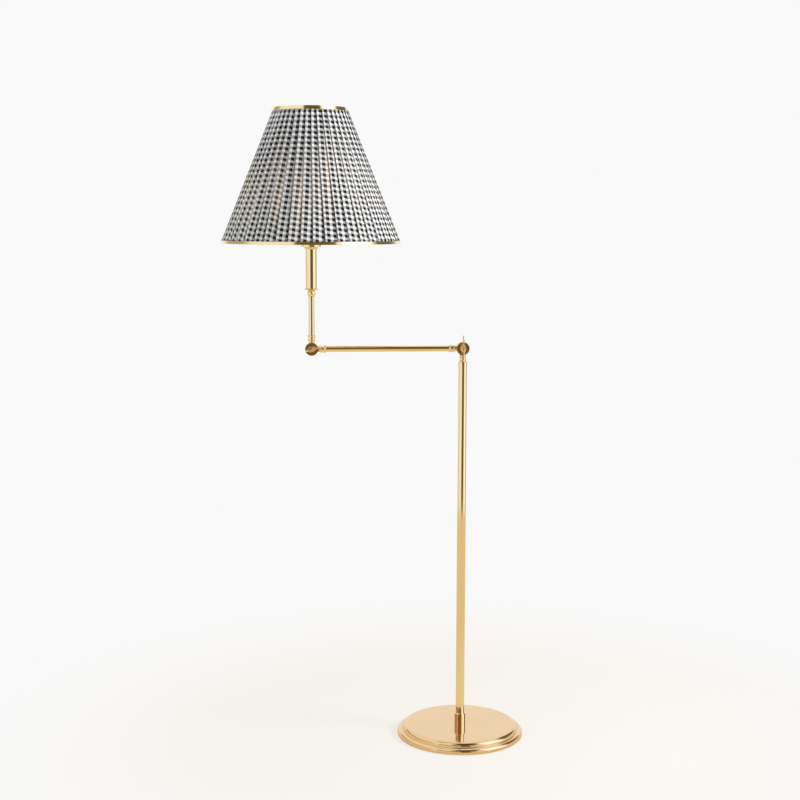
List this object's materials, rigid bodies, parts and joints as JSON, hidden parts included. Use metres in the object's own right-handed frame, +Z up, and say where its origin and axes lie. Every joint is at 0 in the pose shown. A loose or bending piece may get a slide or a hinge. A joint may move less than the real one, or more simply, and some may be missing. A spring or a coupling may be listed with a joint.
{
  "type": "bridge floor lamp",
  "caption": "Brass bridge floor lamp: weighted round base, straight post, arm and upright on knuckle joints with thumb keys, and a pleated gingham shade.",
  "frame": {"origin": "centre of the base's underside, on the floor", "axes": "+Z up along the post; the arm points along -X at rest; the thumb keys face -Y, the side that the picture shows"},
  "size_m": [0.6633, 0.3886, 1.3822],
  "materials": {
    "polished_brass": "polished and lacquered",
    "aged_brass": "polished, darker in the joints",
    "trim_brass": "polished",
    "cast_iron": "as cast",
    "felt": "felt",
    "zinc_steel": "zinc plated",
    "black_rubber": "matt",
    "flex_sheath": "matt sheath",
    "fibre_washer": "matt",
    "holder_white": "semi-gloss moulding",
    "bulb_cap_metal": "bright",
    "opal_glass": "opal, satin",
    "frame_enamel": "white enamel on steel wire",
    "lining_cloth": "plain weave",
    "gingham_cotton": "black and white quarter-inch gingham, knife pleated"
  },
  "bodies": {
    "stand": {"base_cover": "polished_brass", "base_weight": "cast_iron", "base_felt": "felt", "base_nipple": "zinc_steel", "base_washer": "zinc_steel", "base_nut": "zinc_steel", "cord_grommet": "black_rubber", "stem_collar": "polished_brass", "post_tube": "polished_brass", "post_cap": "polished_brass", "post_flex": "flex_sheath"},
    "swivel": {"post_knuckle": "aged_brass", "swivel_washer": "fibre_washer", "swivel_nut": "zinc_steel", "post_friction_washer": "fibre_washer"},
    "post_key": {"post_key": "aged_brass"},
    "arm": {"arm_knuckle_inner": "aged_brass", "arm_ferrule_inner": "polished_brass", "arm_tube": "polished_brass", "arm_flex": "flex_sheath", "arm_ferrule_outer": "polished_brass", "arm_knuckle_outer": "aged_brass", "arm_friction_washer": "fibre_washer"},
    "arm_key": {"arm_key": "aged_brass"},
    "head": {"upright_knuckle": "aged_brass", "upright_ferrule": "polished_brass", "upright_tube": "polished_brass", "upright_flex": "flex_sheath", "ball_coupling": "polished_brass", "riser_nipple": "zinc_steel", "drip_cup": "polished_brass", "candle_tube": "polished_brass", "shade_gallery": "polished_brass", "lampholder": "holder_white", "shade_ring_nut": "holder_white", "bulb_cap": "bulb_cap_metal", "bulb_glass": "opal_glass", "shade_fitter": "frame_enamel", "frame_bottom_ring": "frame_enamel", "frame_top_ring": "frame_enamel", "frame_ribs": "frame_enamel", "shade_lining": "lining_cloth", "shade_cover": "gingham_cotton", "bottom_trim": "trim_brass", "top_trim": "trim_brass"}
  },
  "joints": [
    {"name": "arm_swivel", "type": "hinge", "parent": "stand", "child": "swivel", "pos_m": [0, 0, 0.85], "axis": [0, 0, 1], "range_deg": [-170, 170]},
    {"name": "arm_tilt", "type": "hinge", "parent": "swivel", "child": "arm", "pos_m": [0, 0, 0.87], "axis": [0, 1, 0], "range_deg": [-35, 60]},
    {"name": "head_tilt", "type": "hinge", "parent": "arm", "child": "head", "pos_m": [-0.329, 0, 0.87], "axis": [0, 1, 0], "range_deg": [-90, 35]},
    {"name": "post_key_turn", "type": "hinge", "parent": "swivel", "child": "post_key", "pos_m": [0, -0.0083, 0.87], "axis": [0, -1, 0], "range_deg": [0, 180]},
    {"name": "arm_key_turn", "type": "hinge", "parent": "arm", "child": "arm_key", "pos_m": [-0.329, -0.0083, 0.87], "axis": [0, -1, 0], "range_deg": [0, 180]}
  ]
}
